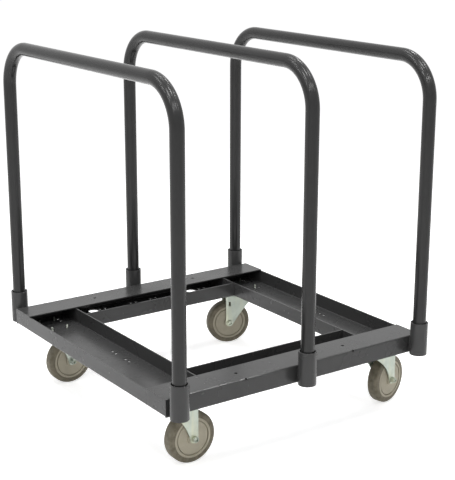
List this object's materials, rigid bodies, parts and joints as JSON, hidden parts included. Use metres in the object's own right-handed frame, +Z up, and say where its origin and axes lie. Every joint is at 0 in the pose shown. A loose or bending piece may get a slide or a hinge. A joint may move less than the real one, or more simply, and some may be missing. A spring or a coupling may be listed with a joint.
{
  "type": "sheet goods cart",
  "caption": "Square steel cart base of open channels on casters, with removable inverted-U tube dividers standing in end sockets to hold panels on edge.",
  "frame": {"origin": "on the floor under the middle of the space that the cart takes up with its casters turned as modelled", "axes": "+X along the front towards the swivel casters, +Y from front to rear, +Z up"},
  "size_m": [0.7976, 0.8508, 0.938],
  "materials": {
    "powder_coat": "satin dark grey powder coat",
    "zinc_plate": "satin pale zinc plating",
    "soft_tread": "matt moulded tread",
    "moulded_core": "matt moulded wheel core"
  },
  "bodies": {
    "base": {"left_end_channel": "powder_coat", "right_end_channel": "powder_coat", "front_channel": "powder_coat", "rear_channel": "powder_coat", "front_cap_angle": "powder_coat", "rear_cap_angle": "powder_coat", "front_left_socket": "powder_coat", "rear_left_socket": "powder_coat", "front_middle_socket": "powder_coat", "rear_middle_socket": "powder_coat", "front_right_socket": "powder_coat", "rear_right_socket": "powder_coat", "front_left_caster_bolt_1": "zinc_plate", "front_left_caster_bolt_2": "zinc_plate", "front_left_caster_bolt_3": "zinc_plate", "front_left_caster_bolt_4": "zinc_plate", "front_left_fork": "zinc_plate", "front_left_bush": "zinc_plate", "front_left_axle_bolt": "zinc_plate", "front_left_axle_nut": "zinc_plate", "rear_left_caster_bolt_1": "zinc_plate", "rear_left_caster_bolt_2": "zinc_plate", "rear_left_caster_bolt_3": "zinc_plate", "rear_left_caster_bolt_4": "zinc_plate", "rear_left_fork": "zinc_plate", "rear_left_bush": "zinc_plate", "rear_left_axle_bolt": "zinc_plate", "rear_left_axle_nut": "zinc_plate", "front_right_caster_bolt_1": "zinc_plate", "front_right_caster_bolt_2": "zinc_plate", "front_right_caster_bolt_3": "zinc_plate", "front_right_caster_bolt_4": "zinc_plate", "front_right_top_plate": "zinc_plate", "front_right_kingpin": "zinc_plate", "rear_right_caster_bolt_1": "zinc_plate", "rear_right_caster_bolt_2": "zinc_plate", "rear_right_caster_bolt_3": "zinc_plate", "rear_right_caster_bolt_4": "zinc_plate", "rear_right_top_plate": "zinc_plate", "rear_right_kingpin": "zinc_plate"},
    "left_hoop": {"left_divider": "powder_coat"},
    "middle_hoop": {"middle_divider": "powder_coat"},
    "right_hoop": {"right_divider": "powder_coat"},
    "front_left_wheel": {"front_left_tyre": "soft_tread", "front_left_core": "moulded_core"},
    "rear_left_wheel": {"rear_left_tyre": "soft_tread", "rear_left_core": "moulded_core"},
    "front_right_swivel": {"front_right_fork": "zinc_plate", "front_right_bush": "zinc_plate", "front_right_axle_bolt": "zinc_plate", "front_right_axle_nut": "zinc_plate"},
    "front_right_wheel": {"front_right_tyre": "soft_tread", "front_right_core": "moulded_core"},
    "rear_right_swivel": {"rear_right_fork": "zinc_plate", "rear_right_bush": "zinc_plate", "rear_right_axle_bolt": "zinc_plate", "rear_right_axle_nut": "zinc_plate"},
    "rear_right_wheel": {"rear_right_tyre": "soft_tread", "rear_right_core": "moulded_core"}
  },
  "joints": [
    {"name": "left_divider_lift", "type": "slide", "parent": "base", "child": "left_hoop", "axis": [0, 0, 1], "range_m": [0, 0.1]},
    {"name": "middle_divider_lift", "type": "slide", "parent": "base", "child": "middle_hoop", "axis": [0, 0, 1], "range_m": [0, 0.1]},
    {"name": "right_divider_lift", "type": "slide", "parent": "base", "child": "right_hoop", "axis": [0, 0, 1], "range_m": [0, 0.1]},
    {"name": "front_left_wheel_spin", "type": "hinge", "parent": "base", "child": "front_left_wheel", "pos_m": [-0.28592, -0.302, 0.0635], "axis": [0, 1, 0], "continuous": true},
    {"name": "rear_left_wheel_spin", "type": "hinge", "parent": "base", "child": "rear_left_wheel", "pos_m": [-0.28592, 0.302, 0.0635], "axis": [0, 1, 0], "continuous": true},
    {"name": "front_right_swivel_turn", "type": "hinge", "parent": "base", "child": "front_right_swivel", "pos_m": [0.29338, -0.302, 0.15], "axis": [0, 0, 1], "continuous": true},
    {"name": "front_right_wheel_spin", "type": "hinge", "parent": "front_right_swivel", "child": "front_right_wheel", "pos_m": [0.3351, -0.2916, 0.0635], "axis": [-0.2419, 0.9703, 0], "continuous": true},
    {"name": "rear_right_swivel_turn", "type": "hinge", "parent": "base", "child": "rear_right_swivel", "pos_m": [0.29338, 0.302, 0.15], "axis": [0, 0, 1], "continuous": true},
    {"name": "rear_right_wheel_spin", "type": "hinge", "parent": "rear_right_swivel", "child": "rear_right_wheel", "pos_m": [0.25248, 0.31529, 0.0635], "axis": [-0.309, -0.9511, 0], "continuous": true}
  ]
}
